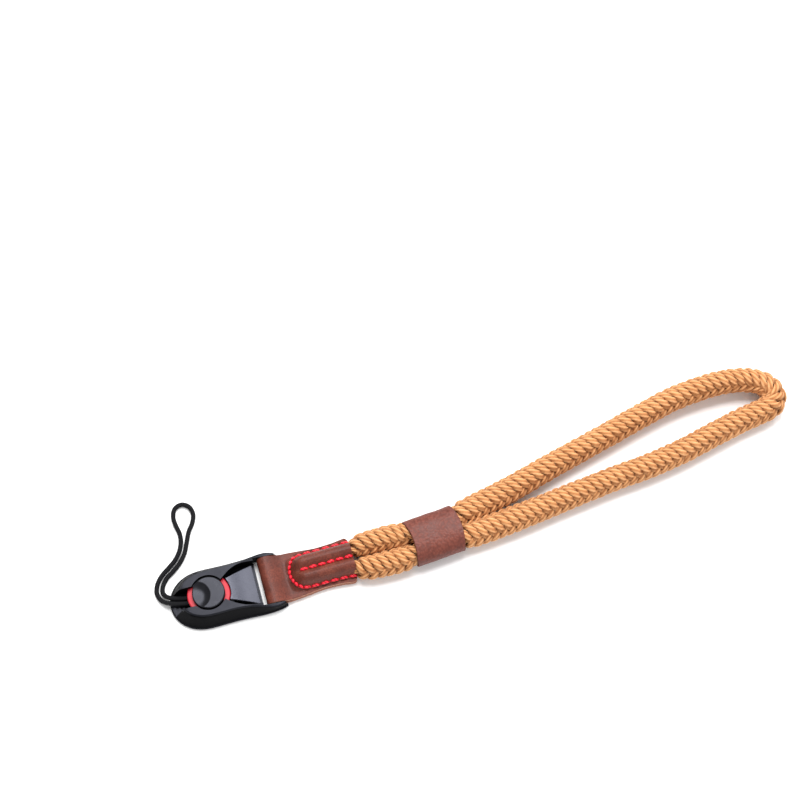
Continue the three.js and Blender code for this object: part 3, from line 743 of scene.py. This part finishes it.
@dataclass
class WristRope:
    """The doubled wrist rope: eight plied strands braided round a core, two over and two under.

    squeeze and spread are read by X: how far leather presses the rope in, and how far its section widens.
    """

    thick: float = 11.4
    pitch: float = 14.4
    each_way: int = 4
    strand_middle: float = 3.72
    strand_weave: float = 0.82
    strand_wide: float = 3.7
    strand_thick: float = 2.3
    crossing: float = 1.8
    top_share: float = 0.28
    flatten: float = 0.4
    ply_lay: float = 13.5
    plies: int = 5
    groove: float = 0.75
    crest: float = 1.06
    # Painted shade and light of the braid: vertices lying less far out than the first share are painted full
    # shade, they brighten over the second, and ply grooves keep the third share of that light.
    painted_shade_until: float = 0.62
    painted_light_over: float = 0.36
    groove_painted_light: float = 0.45
    line_step: float = 0.5
    line_reach: int = 8
    ring_step: float = 0.45
    core: float = 3.3
    core_sides: int = 8
    core_stride: int = 8
    path_stride: int = 6
    route: tuple[Point, ...] = (
        (41.5, 3.05, 4.5), (54.0, 3.15, 4.5), (61.5, 3.4, 4.6), (65.8, 4.9, 5.05),
        (70.5, 5.04, 5.42), (78.0, 5.15, 5.42), (84.0, 5.05, 5.55), (88.5, 4.02, 5.95),
        (98.75, 4.91, 5.99), (108.5, 6.0, 5.99), (113.1, 7.1, 5.9), (118.5, 8.55, 5.6),
        (133.78, 12.0, 5.75), (157.76, 18.84, 5.8), (179.78, 24.68, 6.0), (199.68, 30.1, 6.43),
        (215.67, 34.02, 7.03), (230.75, 35.74, 7.45), (242.66, 35.7, 7.45), (251.71, 33.83, 7.11),
        (258.19, 29.91, 6.43), (260.3, 25.09, 6.0), (258.19, 20.79, 5.75), (251.71, 18.95, 5.75),
        (242.66, 17.34, 5.75), (230.75, 14.6, 5.75), (215.67, 10.8, 5.75), (199.68, 7.81, 5.75),
        (179.78, 5.63, 5.75), (157.76, 2.58, 5.75), (133.78, -0.8, 5.75), (118.5, -2.38, 5.6),
        (113.1, -2.6, 5.9), (108.5, -2.6, 5.99), (98.75, -3.77, 5.99), (88.5, -4.82, 5.95),
        (84.0, -5.75, 5.55), (78.0, -5.84, 5.42), (70.5, -5.76, 5.42), (65.8, -5.1, 5.05),
        (61.5, -2.9, 4.6), (54.0, -2.35, 4.5), (41.5, -2.45, 4.5),
    )
    squeeze: Table = (
        (41, 0.455), (60.5, 0.455), (63.2, 0.56), (66.0, 0.88), (69, 0.94), (80, 0.97), (85.5, 0.95),
        (89.5, 0.735), (109.2, 0.735), (111.3, 0.9), (114.5, 1.0), (122, 1.0), (280, 1.0),
    )
    spread: Table = (
        (41, 1.0), (62, 1.0), (67, 1.03), (84, 1.06), (89, 1.0), (109, 1.0), (113.5, 1.1), (128, 1.1),
        (155, 1.03), (180, 1.0), (280, 1.0),
    )

    def track(self) -> dict[str, Array]:
        """The rope's centre line with its side and up directions, by length along it."""
        line = even(smoothed(spline(self.route, self.line_step), self.line_reach), self.line_step)
        side, up = level_frame(line)
        share, spread = (eased(table, line[:, 0]) for table in (self.squeeze, self.spread))
        return {"s": lengths(line), "line": line, "side": side, "up": up, "share": share, "spread": spread}

    @staticmethod
    def read(track: dict[str, Array], s: Array, key: str) -> Array:
        """One of the track's values at the given lengths."""
        values = track[key]
        if values.ndim == 1:
            return np.interp(s, track["s"], values)
        return np.column_stack([np.interp(s, track["s"], values[:, k]) for k in range(3)])

    def strand(self, track: dict[str, Array], lean: Lean, number: int) -> Piece:
        """One plied strand from end to end.

        Args:
            track: the rope's centre line.
            lean: which way the strand runs round the rope.
            number: which of the four strands of that lean it is.

        Returns:
            The strand's mesh, with its crest values of painted shade and light, and its UV map.
        """
        s = np.linspace(0, track["s"][-1], int(track["s"][-1] / self.ring_step))
        keys = ("line", "side", "up", "share", "spread")
        line, side, up, share, spread = (self.read(track, s, key) for key in keys)
        turn = lean.value * math.tau * s / self.pitch + number * math.tau / self.each_way
        if lean is Lean.LEFT:
            turn += math.tau / self.each_way / 2
        over = np.tanh(self.crossing * (np.cos(2 * turn) + self.top_share)) * lean.value
        radius = self.strand_middle + self.strand_weave * over
        flat = 1 - self.flatten * (spread - 1)
        out = (np.cos(turn) * flat)[:, None] * up - (np.sin(turn) * spread)[:, None] * side
        centre = line + (share * radius)[:, None] * out
        forward = unit(np.gradient(centre, axis=0))
        out = unit(out - (out * forward).sum(1, keepdims=True) * forward)
        across = np.cross(forward, out)
        length = lengths(centre)
        corners = np.arange(2 * self.plies)
        grooves = corners % 2 == 0
        theta = math.tau * (lean.value * length[:, None] / self.ply_lay + corners / len(corners)) + number
        half = 0.5 * share[:, None] * np.where(grooves, self.groove, self.crest)
        wide = self.strand_wide * half * np.cos(theta)
        high = self.strand_thick * half * np.sin(theta)
        rings = centre[:, None, :] + wide[..., None] * across[:, None, :] + high[..., None] * out[:, None, :]
        obj = rings_to_mesh(f"strand_{lean.name}_{number}", rings * MM, 1.0, length)
        # Painted shade and light by how far out each vertex lies: dark in the braid's gaps, light on its
        # crests, darker again in the ply grooves.
        reach = self.strand_middle + self.strand_weave + 0.5 * self.strand_thick
        outness = ((radius * share)[:, None] + high) / (reach * share[:, None])
        crest = np.clip((outness - self.painted_shade_until) / self.painted_light_over, 0, 1)
        crest = crest * np.where(grooves, self.groove_painted_light, 1.0)
        shared_value(obj, "crest", np.concatenate([crest.ravel(), [0, 0]]))
        return obj

    def build(self) -> Piece:
        track = self.track()
        parts = [self.strand(track, lean, number) for lean in Lean for number in range(self.each_way)]
        keys = ("line", "side", "up", "share", "s")
        line, side, up, share, along = (track[key][:: self.core_stride] for key in keys)
        angles = np.arange(self.core_sides) * math.tau / self.core_sides
        tube = tube_rings(line, side, up, angles, self.core * share[:, None])
        core = rings_to_mesh("core", tube * MM, 1.0, along)
        # The core, seen only through the gaps, is painted in full shade.
        shared_value(core, "crest", np.zeros(len(core.data.vertices)))
        rope = join("wrist_rope_braid", [*parts, core])
        smooth(rope)
        settle(rope, CottonFinish().material(), Body.STRAP, Slot.ROPE, "wrist_rope")
        return rope


# Anchor cord


@dataclass
class AnchorCord:
    """The thin woven cord loop of the anchor, with both of its ends at the flange."""

    thick: float = 2.0
    sides: int = 14
    step: float = 0.35
    strands: int = 4
    weave: float = 4.2
    relief: float = 0.025
    path_stride: int = 3
    route: tuple[Point, ...] = (
        (-2.95, 1.2, 4.2), (-7.9, 1.4, 4.1), (-12.6, 2.3, 3.9), (-15.9, 3.5, 3.5), (-17.95, 5.4, 2.0),
        (-18.8, 7.9, 1.15), (-17.9, 10.7, 1.05), (-15.7, 13.4, 1.05), (-12.4, 15.7, 1.05),
        (-8.95, 18.6, 1.05), (-5.95, 22.4, 1.05), (-4.0, 26.8, 1.05), (-2.0, 31.4, 1.05),
        (0.4, 35.0, 1.05), (1.6, 38.8, 1.05), (0.6, 42.4, 1.05), (-2.4, 44.2, 1.05), (-5.6, 43.0, 1.05),
        (-7.0, 39.6, 1.05), (-6.8, 35.6, 1.05), (-6.0, 31.6, 1.05), (-6.4, 27.5, 1.05), (-8.1, 23.5, 1.05),
        (-10.7, 20.2, 1.05), (-14.0, 17.6, 1.05), (-17.5, 15.0, 1.05), (-20.2, 11.7, 1.05),
        (-21.3, 7.9, 1.05), (-20.2, 4.3, 1.35), (-17.2, 1.6, 3.2), (-13.4, 0.1, 3.85), (-8.1, -1.0, 4.1),
        (-2.95, -1.2, 4.2),
    )

    def build(self) -> Piece:
        line = spline(self.route, self.step)
        side, up = level_frame(line)
        along = lengths(line)
        angles = -np.arange(self.sides) * math.tau / self.sides
        turn, run = self.strands * angles, self.weave * along[:, None]
        bead = 1 + self.relief * np.sin(turn + run) * np.sin(turn - run)
        tube = tube_rings(line, side, up, angles, 0.5 * self.thick * bead)
        cord = rings_to_mesh("anchor_cord_weave", tube * MM, 1.0, along)
        smooth(cord)
        tones = ((0.002, 0.002, 0.0025), (0.012, 0.012, 0.014))
        finish = YarnFinish("black_weave", *tones, 5, 1.1, True, roughness=0.75, sheen=0.0, shine=0.12)
        settle(cord, finish.material(), Body.HOUSING, Slot.CORD, "anchor_cord")
        return cord


# Leather tab


@dataclass
class LeatherTab:
    """One leather strip folded round the pin and sewn over the two rope ends.

    fall, bulge_start, bulge_full, unmarked, widths and lift_from[0] are shares of the way from pin to mouth.
    groove and hole hold how deep and how wide the thread presses in. rows count lower layer, fold and top.
    """

    thick: float = 1.6
    pin_x: float = 26.2
    fold: float = 3.3
    length: float = 36.8
    half: float = 10.4
    sway: float = 0.5
    corner: float = 1.5
    corner_power: int = 9
    unmarked: float = 0.15
    bulge: float = 6.2
    seam_half: float = 7.65
    fall: float = 0.225
    bulge_start: float = 0.235
    bulge_full: float = 0.45
    slack: float = 0.3
    end_round: float = 0.05
    lift: float = 0.55
    lift_from: tuple[float, float] = (0.9, 6.0)
    lift_over: tuple[float, float] = (0.1, 4.0)
    groove: tuple[float, float] = (0.34, 0.85)
    hole: tuple[float, float] = (0.42, 0.6)
    deepest: float = 0.75
    columns: int = 97
    crowding: float = 0.35
    rows: tuple[int, int, int] = (62, 19, 96)
    edge: float = 0.11
    merge: float = 0.001
    widths: Table = (
        (0, 1.0), (0.24, 0.985), (0.43, 0.93), (0.65, 0.865), (0.84, 0.89), (1, 0.95),
    )
    profile: Table = (
        (0, 0.79), (0.1, 0.82), (0.22, 0.92), (0.4, 1.0), (0.56, 0.965), (0.7, 0.84), (0.82, 0.6),
        (0.92, 0.29), (1.0, 0.06), (1.08, 0.0), (1.6, 0.0),
    )
    seam: Table = (
        (63.2, 8.25), (59.0, 8.1), (54.8, 7.95), (50.6, 7.85), (46.4, 7.8), (42.4, 7.75), (39.2, 7.4),
        (37.3, 6.1), (36.1, 4.3), (35.45, 2.3), (35.2, 0.2), (35.5, -1.9), (36.3, -3.9), (37.6, -5.7),
        (39.4, -6.8), (42.6, -7.1), (46.8, -7.0), (51.0, -6.9), (55.2, -6.85), (59.2, -6.9), (63.2, -7.1),
    )
    centre_seam: Table = (
        (39.6, -0.1), (43.5, 0.0), (47.4, 0.1), (51.3, 0.2), (55.2, 0.3), (59.1, 0.4), (63.1, 0.5),
    )

    def middle(self, layer: Array | float) -> Array:
        """How far the strip's middle has swayed towards +Y, by its share of the way from pin to mouth."""
        return self.sway * ease(layer)

    def height(self, x: Array, y: Array) -> Array:
        """The top of the upper layer, without the marks of its seams."""
        layer = np.clip((x - self.pin_x) / self.length, 0, 1)
        fall = ease(layer / self.fall)
        out = np.abs(y - self.middle(layer)) / self.seam_half
        round_end = self.end_round * np.clip(1 - out**2, 0, 1)
        rise = ease((layer + round_end - self.bulge_start) / (self.bulge_full - self.bulge_start))
        reach = zip((layer, y), self.lift_from, self.lift_over)
        far, wide = (np.clip((at - start) / over, 0, 1) for at, start, over in reach)
        flat = 2 * self.fold * (1 - fall) + (2 * self.thick + self.slack) * fall
        return flat + rise * eased(self.profile, out) * self.bulge + self.lift * far**2 * wide

    def marks(self, x: Array, y: Array) -> Array:
        """How deep the thread pulls the leather in: a groove along each seam and a dimple at each hole."""
        depth = np.zeros_like(x)
        for points in (np.array(self.seam), np.array(self.centre_seam)):
            near = np.full(x.shape, np.inf)
            for a, b in zip(points[:-1], points[1:]):
                d = b - a
                t = np.clip(((x - a[0]) * d[0] + (y - a[1]) * d[1]) / (d @ d), 0, 1)
                near = np.minimum(near, np.hypot(x - a[0] - t * d[0], y - a[1] - t * d[1]))
            depth = np.maximum(depth, self.groove[0] * np.exp(-((near / self.groove[1]) ** 2)))
            for hole in points:
                away = np.hypot(x - hole[0], y - hole[1])
                depth = depth + self.hole[0] * np.exp(-((away / self.hole[1]) ** 2))
        return np.minimum(depth, self.deepest)

    def outer(self) -> Array:
        """Places on the strip's outer face, by row from the lower open end round the fold, by column."""
        level = np.linspace(1, -1, self.columns)
        across = self.crowding * np.sin(level * math.pi / 2) + (1 - self.crowding) * level
        down, round_pin, up = self.rows
        stations = [(layer, 0.0) for layer in np.linspace(1, 0, down)[:-1]]
        stations += [(0.0, turn) for turn in np.linspace(0, 1, round_pin)]
        stations += [(layer, 1.0) for layer in np.linspace(0, 1, up)[1:]]
        short = self.corner * np.abs(across) ** self.corner_power
        rows = []
        for layer, turn in stations:
            y = self.middle(layer) + across * eased(self.widths, np.array([layer])) * self.half
            x = self.pin_x + layer * (self.length - short)
            if 0 < turn < 1:
                angle = -math.pi / 2 - turn * math.pi
                x = np.full_like(y, self.pin_x + self.fold * math.cos(angle))
                z = np.full_like(y, self.fold + self.fold * math.sin(angle))
            elif turn == 0:
                z = self.marks(x, y) if layer > self.unmarked else np.zeros_like(y)
            else:
                z = self.height(x, y) - self.marks(x, y)
            rows.append(np.column_stack([x, y, z]))
        return np.array(rows)

    def build(self) -> Piece:
        """Shapes the strip from a grid, thickens it, rounds its edges and dresses it."""
        outer = self.outer()
        rows, columns, _ = outer.shape
        deselect_all()
        bpy.ops.mesh.primitive_grid_add(x_subdivisions=columns - 1, y_subdivisions=rows - 1, size=1)
        tab = bpy.context.object
        tab.name = "leather_tab_strip"
        grid = get_places(tab)
        shaped = np.zeros_like(grid)
        shaped[np.lexsort((grid[:, 0].round(5), grid[:, 1].round(5)))] = outer.reshape(-1, 3)
        set_places(tab, shaped)
        with editing(tab):
            if tab.data.polygons[columns // 2].normal.z > 0:
                bpy.ops.mesh.flip_normals()
        leather = LeatherFinish("tab_leather", grain=0.6, depth=0.06, shine=0.26)
        cut = CutEdgeFinish("tab_edge", pale=(0.5, 0.25, 0.17), deep=(0.24, 0.085, 0.055))
        rounding = thicken(tab, self.thick, self.edge, 2, leather, cut)
        rounding.use_clamp_overlap = False
        rounding.material = 0
        apply_modifiers(tab)
        with editing(tab):
            bpy.ops.mesh.remove_doubles(threshold=self.merge)
        to_leather(tab, "leather_tab")
        return tab


@dataclass
class SeamThread:
    """The red saddle stitches of the tab, on its top and, thinner by the share under, on its underside."""

    tab: LeatherTab
    thick: float = 1.5
    blunt: float = 0.45
    taper: float = 0.55
    proud: float = 0.62
    dive: float = 0.5
    under: float = 0.62
    under_proud: float = 0.6
    under_dive: float = 0.45
    under_low: float = 0.05
    tip: float = 0.42
    gap: float = 0.07
    ply_turn: float = 1.1
    ply_step: float = 1.7
    ply_depth: float = 0.07
    rings: int = 13
    sides: int = 10

    def stitch(self, a: Array, b: Array, top: bool, number: int) -> Piece:
        """One plied stitch between two holes.

        Args:
            a: the first hole, as x and y.
            b: the second hole.
            top: whether it lies on the tab or under it.
            number: which stitch it is, for the turn of its plies.

        Returns:
            The stitch's mesh.
        """
        length = float(np.linalg.norm(b - a))
        t = np.linspace(0, 1, self.rings)
        xy = a + (b - a) * t[:, None]
        arch = np.sin(math.pi * t) ** self.blunt
        thin = 0.5 * self.thick * (self.tip + (1 - self.tip) * np.sin(math.pi * t) ** self.taper)
        if top:
            surface = self.tab.height(xy[:, 0], xy[:, 1]) - self.tab.marks(xy[:, 0], xy[:, 1])
            z = surface + self.proud * thin * arch - self.dive * (1 - arch)
        else:
            z = np.maximum(self.under_proud * thin, self.under_low) + self.under_dive * (1 - arch)
            thin = self.under * thin
        centre = np.column_stack([xy, z])
        angles = -np.arange(self.sides) * math.tau / self.sides
        spin = self.ply_turn * t * length + number * self.ply_step
        lobes = 1 + self.ply_depth * np.cos(2 * (angles - spin[:, None]))
        tube = tube_rings(centre, *level_frame(centre), angles, thin[:, None] * lobes)
        return rings_to_mesh(f"stitch_{number}", tube * MM, 1.0, t * length)

    def build(self) -> Piece:
        """Sews both seams on both faces and joins the stitches."""
        parts = []
        for top in (True, False):
            for seam in (self.tab.seam, self.tab.centre_seam):
                holes = np.array(seam)
                for a, b in zip(holes[:-1], holes[1:]):
                    inset = (b - a) * self.gap
                    parts.append(self.stitch(a + inset, b - inset, top, len(parts)))
        thread = join("seam_thread", parts)
        smooth(thread)
        tones = ((0.38, 0.002, 0.006), (0.85, 0.012, 0.035))
        finish = YarnFinish("red_thread", *tones, 2, 1.3, False, roughness=0.4, relief=0.0001)
        settle(thread, finish.material(), Body.STRAP, Slot.LEATHER)
        return thread


# Keeper


@dataclass
class KeeperSleeve:
    """The leather sleeve round both strands of the rope.

    flare and dent hold a size and how far it reaches. ripples hold a height and the waves along and round it.
    """

    start: Point = (88.0, -0.45, 5.99)
    length: float = 21.6
    turn: float = 5.4
    wall: float = 1.5
    inner_wide: float = 17.66
    inner_high: float = 8.98
    bow: float = 1.5
    bow_half: float = 10.5
    squareness: float = 2.45
    flare: tuple[float, float] = (0.012, 1.2)
    dent: tuple[float, float] = (0.1, 2.6)
    mouth_wander: float = 0.24
    ripples: tuple[Point, ...] = ((0.1, 0.42, 2), (0.07, 0.8, -3))
    ripple_up: float = 0.5
    ripple_out: float = 0.4
    seed: int = 7
    edge: float = 0.3
    around: int = 96
    steps: int = 44

    def shape(self, ring: Array, along: Array) -> Array:
        """Lays the sleeve's outer face round the rope.

        Args:
            ring: each vertex's angle round the sleeve.
            along: how far it is from the first mouth.

        Returns:
            The places, one row each.
        """
        wide, high = 0.5 * self.inner_wide + self.wall, 0.5 * self.inner_high + self.wall
        cos, sin = np.cos(ring), np.sin(ring)
        y = wide * np.sign(cos) * np.abs(cos) ** (2 / self.squareness)
        z = high * np.sign(sin) * np.abs(sin) ** (2 / self.squareness)
        wave = np.random.default_rng(self.seed).uniform(0, math.tau, 4)
        soft = sum(h * np.sin(along * k + w + n * ring) for (h, k, n), w in zip(self.ripples, wave))
        flare = 1 + self.flare[0] * np.exp(-np.minimum(along, self.length - along) / self.flare[1])
        dent = self.dent[0] * np.exp(-((y / self.dent[1]) ** 2))
        z = np.where(z > 0, z * flare - dent + self.ripple_up * soft, z)
        y = y * flare + self.ripple_out * soft * np.sign(y)
        run = along + self.mouth_wander * np.sin(2 * ring + wave[2]) * (along / self.length - 0.5)
        run += self.bow * np.clip(z / high, -0.2, 1) * (1 - (y / self.bow_half) ** 2)
        a = math.radians(self.turn)
        forward = run * math.cos(a) - y * math.sin(a)
        sideways = run * math.sin(a) + y * math.cos(a)
        return np.column_stack([forward, sideways, z]) + self.start

    def build(self) -> Piece:
        """Draws the section, extrudes it along the rope and dresses it."""
        deselect_all()
        bpy.ops.mesh.primitive_circle_add(vertices=self.around, radius=1, fill_type="NOTHING")
        sleeve = bpy.context.object
        sleeve.name = "keeper_sleeve_leather"
        step = (0, 0, self.length / self.steps)
        with editing(sleeve):
            for _ in range(self.steps):
                bpy.ops.mesh.extrude_region_move(TRANSFORM_OT_translate={"value": step})
        x, y, along = get_places(sleeve).T
        ring = np.rint(np.arctan2(y, x) / math.tau * self.around) % self.around * math.tau / self.around
        set_places(sleeve, self.shape(ring, along))
        with editing(sleeve):
            bpy.ops.mesh.normals_make_consistent(inside=False)
        tones = {"dark": (0.066, 0.013, 0.008), "mid": (0.152, 0.034, 0.02), "light": (0.225, 0.06, 0.037)}
        leather = LeatherFinish("keeper_leather", grain=0.95, depth=0.2, shine=0.33, mottle=0.5, **tones)
        cut = CutEdgeFinish("keeper_edge", pale=(0.16, 0.055, 0.04), deep=(0.05, 0.016, 0.012))
        thicken(sleeve, self.wall, self.edge, 3, leather, cut)
        apply_modifiers(sleeve)
        to_leather(sleeve, "keeper_sleeve")
        return sleeve


# Quick release


@dataclass
class MouldedPiece:
    """A hard piece of the quick release: the CAD solid with its edges rounded and its curves smoothed."""

    node: str
    name: str
    slot: Slot
    edge: float
    crease: float = 32.0
    smooth_past: float = 13.0
    merge: float = 0.002
    flat: float = 0.4
    even_out: int = 60

    def build(self, finish: Material) -> Piece:
        """Copies the solid, merges it, rounds its edges and dresses it with its material."""
        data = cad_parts[self.node].data.copy()
        data.materials.clear()
        obj = add_object(self.name, data)
        set_places(obj, get_places(obj) / MM)
        with editing(obj):
            bpy.ops.mesh.remove_doubles(threshold=self.merge)
            bpy.ops.mesh.dissolve_limited(angle_limit=math.radians(self.flat))
        bevel(obj, self.edge, 2, self.crease)
        apply_modifiers(obj)
        soften(obj, self.crease + self.smooth_past)
        shading = obj.modifiers.new("even_shading", "WEIGHTED_NORMAL")
        shading.keep_sharp = True
        shading.weight = self.even_out
        apply_modifiers(obj)
        to_metres(obj)
        settle(obj, finish, Body.HOUSING, self.slot, self.node)
        return obj


@dataclass
class CapButton:
    """The anchor's round cap, with a hollow for the thumb that is deepest beside its curved step.

    under is the radius of its underside's inner ring, and brink the share of slope over which the step drops.
    """

    radius: float = 7.0
    under: float = 2.1
    rim: float = 0.5
    rim_steps: int = 5
    step_centre: float = -5.3
    step_radius: float = 6.2
    depth: float = 1.35
    slope: float = 4.2
    brink: float = 0.1
    rise: float = 0.62
    around: int = 128
    inward: int = 48
    innermost: float = 0.02

    def sink(self, x: Array, y: Array) -> Array:
        """How far the hollow lies under the cap's flat top."""
        inside = np.clip((self.step_radius - np.hypot(x - self.step_centre, y)) / self.slope, 0, 1)
        fall = np.sin(inside * math.pi / 2) * (1 - np.exp(-((inside / self.brink) ** 2)))
        away = np.clip(-x / self.radius, 0, 1)
        return self.depth * fall * (1 - self.rise * away)

    def build(self, finish: Material, sides: Material) -> Piece:
        """Turns the cap ring by ring from its underside to its middle, and dresses it.

        Args:
            finish: the material of its top.
            sides: the darker, duller material of its upright wall, painted shade.

        Returns:
            The finished cap.
        """
        heights = [corner[2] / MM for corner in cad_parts["anchor_cap"].bound_box]
        low, high = min(heights), max(heights)
        flat = self.radius - self.rim
        turns = np.linspace(0, math.pi / 2, self.rim_steps)
        profile = [(flat + self.rim * math.cos(a), self.rim * (1 - math.sin(a))) for a in turns]
        profile += [(r, 0.0) for r in np.linspace(flat, self.innermost, self.inward)[1:]]
        angle = np.arange(self.around) * math.tau / self.around
        cos, sin = np.cos(angle), np.sin(angle)
        base = np.full_like(angle, low)
        rings = [np.column_stack([r * cos, r * sin, base]) for r in (self.under, self.radius)]
        for r, drop in profile:
            rings.append(np.column_stack([r * cos, r * sin, high - drop - self.sink(r * cos, r * sin)]))
        cap = rings_to_mesh("cap_button", np.array(rings) * MM, 1.0, np.arange(len(rings)))
        soften(cap, PLASTIC_SMOOTH)
        settle(cap, finish, Body.HOUSING, Slot.PLASTIC, "anchor_cap")
        # The cap's upright wall gets the darker material: painted shade.
        paint_wall_shade(cap, sides)
        return cap


@dataclass
class SeatLedge:
    """The narrow ledge inside the seat, on both sides of the cap, that hides the flange there."""

    inner: float = 7.12
    outer: float = 7.85
    low: float = 7.32
    high: float = 7.8
    half_turn: float = 52.0
    steps: int = 24

    def arc(self, side: int) -> Piece:
        """One arc of the ledge.

        Args:
            side: 1 for the +Y side, -1 for the -Y side.

        Returns:
            The arc's mesh.
        """
        turn = np.radians(np.linspace(90 - self.half_turn, 90 + self.half_turn, self.steps))
        inner, outer, low, high = self.inner, self.outer, self.low, self.high
        corners = ((inner, low), (outer, low), (outer, high), (inner, high))
        rings = np.array([[(r * math.cos(a), side * r * math.sin(a), z) for r, z in corners] for a in turn])
        return rings_to_mesh(f"ledge_{side}", rings * MM, 1.0, turn)

    def build(self, finish: Material) -> Piece:
        """Builds both arcs as one piece."""
        ledge = join("seat_ledge", [self.arc(1), self.arc(-1)])
        soften(ledge, PLASTIC_SMOOTH)
        settle(ledge, finish, Body.HOUSING, Slot.PLASTIC)
        return ledge


class QuickRelease:
    """The black housing with its ramp, pin and cord anchor."""

    def build(self) -> None:
        """Builds every hard piece of the quick release."""
        finishes = (
            PlasticFinish("black_housing", (0.007, 0.0072, 0.0095), (0.012, 0.0122, 0.015), 0.3),
            # The ramp's grey-blue colour is painted sheen on a black plate.
            PlasticFinish("black_ramp_painted_sheen", (0.038, 0.04, 0.054), (0.045, 0.048, 0.063), 0.26, 0.5),
            PlasticFinish("black_cap", (0.005, 0.005, 0.006), (0.01, 0.01, 0.012), 0.28, 0.22),
            # Near-black, dull finish for upright faces of the housing and cap: painted shade.
            PlasticFinish("black_walls_painted_shade", (0.002, 0.002, 0.0024), (0.004, 0.004, 0.0045), 0.45, 0.03),
            PlasticFinish("red_flange", (0.51, 0.01, 0.026), (0.55, 0.022, 0.042), 0.4, 0.3, (1.0, 0.9, 0.9)),
        )
        black, ramp_painted_sheen, cap, shaded_walls, red = (finish.material() for finish in finishes)
        shell = MouldedPiece("quick_release_housing", "housing_shell", Slot.PLASTIC, 0.18).build(black)
        # Upright faces of the shell get painted shade.
        paint_wall_shade(shell, shaded_walls)
        MouldedPiece("locking_ramp", "ramp_plate", Slot.PLASTIC, 0.15).build(ramp_painted_sheen)
        CapButton().build(cap, shaded_walls)
        SeatLedge().build(black)
        MouldedPiece("anchor_flange", "flange_disc", Slot.RED, 0.1).build(red)
        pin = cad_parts["strap_pin"].data
        pin.materials.clear()
        pin.materials.append(SteelFinish().material())


# Build


def main() -> None:
    """Builds the studio, then each sub-assembly in order."""
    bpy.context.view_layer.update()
    Studio().build()
    AnchorCord().build()
    WristRope().build()
    tab = LeatherTab()
    tab.build()
    SeamThread(tab).build()
    KeeperSleeve().build()
    QuickRelease().build()
    deselect_all()


if __name__ == "__main__":
    main()
